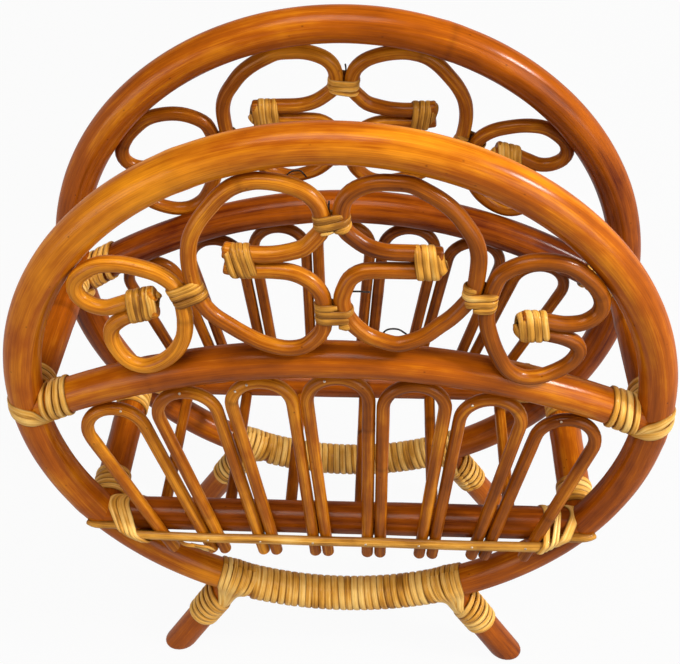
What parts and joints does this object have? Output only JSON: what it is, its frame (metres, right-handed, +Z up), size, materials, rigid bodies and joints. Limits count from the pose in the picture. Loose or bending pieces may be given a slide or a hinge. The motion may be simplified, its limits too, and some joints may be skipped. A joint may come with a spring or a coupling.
{
  "type": "magazine basket",
  "caption": "Rattan magazine rack: two round hoop panels with hairpin loops and bound scrollwork, joined by rails and floor slats on short splayed legs.",
  "frame": {"origin": "on the floor, under the middle of the rack", "axes": "+X to the right as seen from the front, +Y from the front panel to the back panel, +Z up"},
  "size_m": [0.423, 0.1854, 0.4755],
  "materials": {
    "varnished_pole": "gloss varnish over amber rattan pole",
    "thin_cane": "gloss varnish over thin brown cane",
    "split_cane": "satin natural split cane"
  },
  "bodies": {
    "root": {"front_hoop": "varnished_pole", "front_base_winding": "split_cane", "front_arch_bar": "varnished_pole", "front_lower_rail": "varnished_pole", "front_strip": "split_cane", "front_loop_1": "thin_cane", "front_loop_2": "thin_cane", "front_loop_3": "thin_cane", "front_loop_4": "thin_cane", "front_loop_5": "thin_cane", "front_loop_6": "thin_cane", "front_loop_7": "thin_cane", "front_big_scroll_right": "thin_cane", "front_small_scroll_right": "thin_cane", "front_bundle_right": "split_cane", "front_side_tie_right": "split_cane", "front_leg_right": "varnished_pole", "front_big_scroll_left": "thin_cane", "front_small_scroll_left": "thin_cane", "front_bundle_left": "split_cane", "front_side_tie_left": "split_cane", "front_leg_left": "varnished_pole", "front_upper_tie": "split_cane", "front_lower_tie": "split_cane", "back_hoop": "varnished_pole", "back_base_winding": "split_cane", "back_arch_bar": "varnished_pole", "back_lower_rail": "varnished_pole", "back_strip": "split_cane", "back_loop_1": "thin_cane", "back_loop_2": "thin_cane", "back_loop_3": "thin_cane", "back_loop_4": "thin_cane", "back_loop_5": "thin_cane", "back_loop_6": "thin_cane", "back_loop_7": "thin_cane", "back_big_scroll_right": "thin_cane", "back_small_scroll_right": "thin_cane", "back_bundle_right": "split_cane", "back_side_tie_right": "split_cane", "back_leg_right": "varnished_pole", "back_big_scroll_left": "thin_cane", "back_small_scroll_left": "thin_cane", "back_bundle_left": "split_cane", "back_side_tie_left": "split_cane", "back_leg_left": "varnished_pole", "back_upper_tie": "split_cane", "back_lower_tie": "split_cane", "side_rail_left": "varnished_pole", "upper_connector_left": "varnished_pole", "side_rail_right": "varnished_pole", "upper_connector_right": "varnished_pole", "floor_slat_1": "thin_cane", "floor_slat_2": "thin_cane", "floor_slat_3": "thin_cane", "floor_slat_4": "thin_cane", "floor_slat_5": "thin_cane", "floor_slat_6": "thin_cane"}
  },
  "joints": []
}
